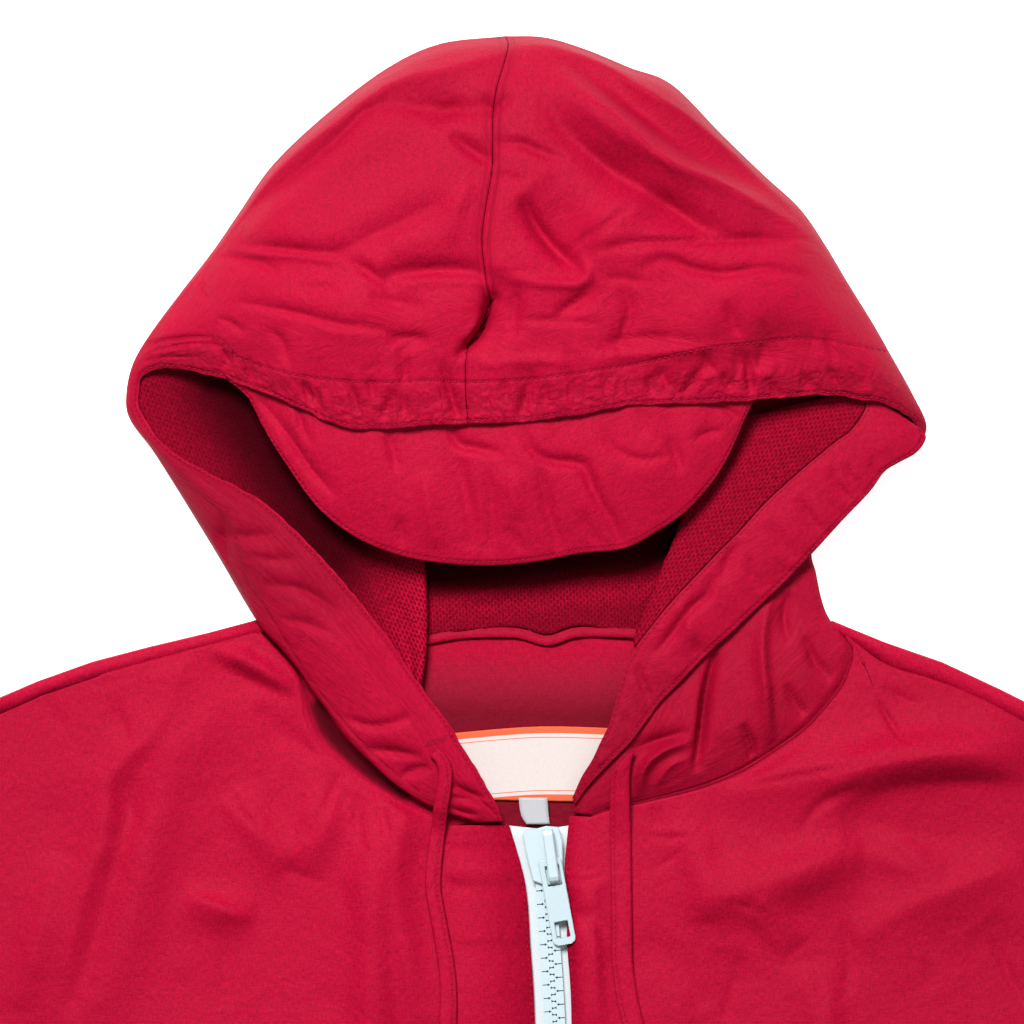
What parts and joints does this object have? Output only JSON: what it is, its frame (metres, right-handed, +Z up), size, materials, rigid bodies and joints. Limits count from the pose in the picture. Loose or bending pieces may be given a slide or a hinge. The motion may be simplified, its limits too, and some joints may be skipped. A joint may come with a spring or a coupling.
{
  "type": "hooded anorak pullover with a half zip, laid flat",
  "caption": "Boxy pullover anorak lying flat on its back: three-dimensional hood with a peak and mesh lining, flat drawstring ties, dropped sleeves and a half zip with a swinging pull.",
  "frame": {"origin": "under the middle of the garment's bounding box, on the surface it lies on", "axes": "+X to the viewer's right (the wearer's left), +Y from the hem to the top of the hood, +Z up out of the surface"},
  "size_m": [1.14, 0.8424, 0.0475],
  "materials": {
    "crimson_cloth": "soft matt woven cloth",
    "mesh_lining": "brushed open mesh",
    "zip_plastic": "pale moulded plastic",
    "zip_tape": "woven tape",
    "label_cloth": "woven label",
    "tag_satin": "satin tape"
  },
  "bodies": {
    "garment": {"hood_left": "crimson_cloth", "hood_right": "crimson_cloth", "peak": "crimson_cloth", "hood_facing_right": "crimson_cloth", "front_body": "crimson_cloth", "back_body": "crimson_cloth", "sleeve_left": "crimson_cloth", "sleeve_right": "crimson_cloth", "drawstring_left": "crimson_cloth", "drawstring_right": "crimson_cloth", "hood_lining_left": "mesh_lining", "hood_lining_right": "mesh_lining", "hood_lining_back": "mesh_lining", "zip_chain": "zip_plastic", "zip_slider": "zip_plastic", "zip_tape_left": "zip_tape", "zip_tape_right": "zip_tape", "label": "label_cloth", "size_tag": "tag_satin"},
    "pull_tab": {"zip_pull": "zip_plastic"}
  },
  "joints": [
    {"name": "zip_pull_hinge", "type": "hinge", "parent": "garment", "child": "pull_tab", "pos_m": [0, 0.10685, 0.0089], "axis": [-0.9836, -0.1805, 0], "range_deg": [0, 140]}
  ]
}
